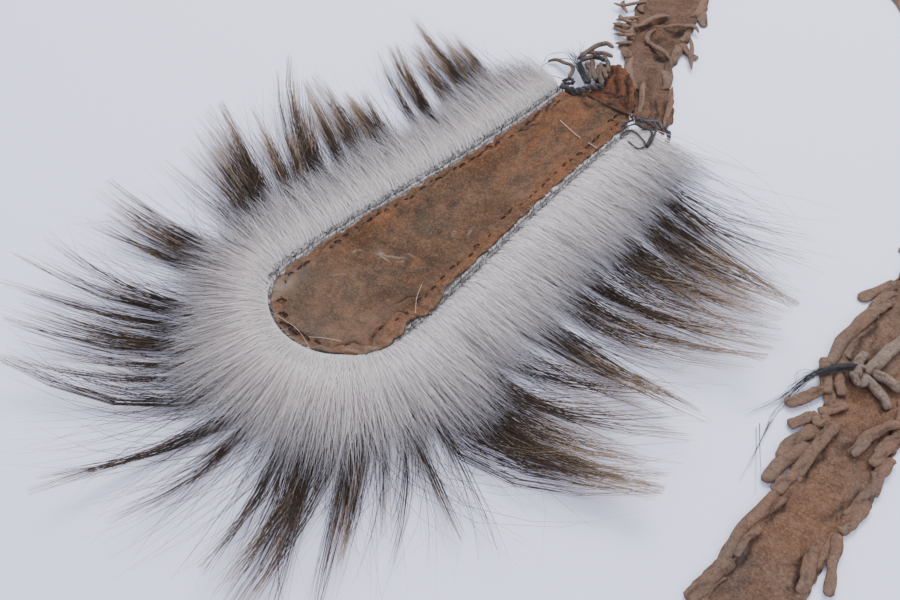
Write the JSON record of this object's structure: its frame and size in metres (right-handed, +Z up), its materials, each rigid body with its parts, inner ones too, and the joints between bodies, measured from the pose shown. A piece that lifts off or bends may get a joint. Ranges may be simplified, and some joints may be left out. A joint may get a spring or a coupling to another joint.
{
  "type": "roach headdress",
  "caption": "Roach headdress lying flat: buckskin base with corded edge, a white hair row over long dark guard hair, and a fringed leather strap trailing from its back end.",
  "frame": {"origin": "centre of the footprint of everything built, on the surface that it lies on", "axes": "+Z up from the surface, +Y along the leather base from its nose to its back end, +X towards the side that the strap turns to"},
  "size_m": [0.4486, 0.7224, 0.0194],
  "materials": {
    "base_buckskin": "worn brown buckskin with rust streaks and grey stains",
    "strap_buckskin": "soft taupe suede with orange-brown patches",
    "red_buckskin": "reddish gathered buckskin",
    "pale_thong": "pale rolled suede",
    "rim_cord": "pale twisted cord with dark threads",
    "dark_tie": "dark grey cord and thong, dusty",
    "white_hair": "stiff cream to pale grey hair",
    "dark_hair": "stiff dark brown guard hair with tan tips",
    "black_hair": "coarse black hair"
  },
  "bodies": {
    "root": {"base_leather": "base_buckskin", "rim_cord_inner": "rim_cord", "rim_cord_outer": "rim_cord", "white_hair_row": "white_hair", "dark_hair_row": "dark_hair", "tail_strap": "strap_buckskin", "strap_root_flap": "red_buckskin", "far_corner_thongs": "dark_tie", "near_corner_cords": "dark_tie", "strap_knot_thong": "pale_thong", "strap_hair_tuft": "black_hair"}
  },
  "joints": []
}
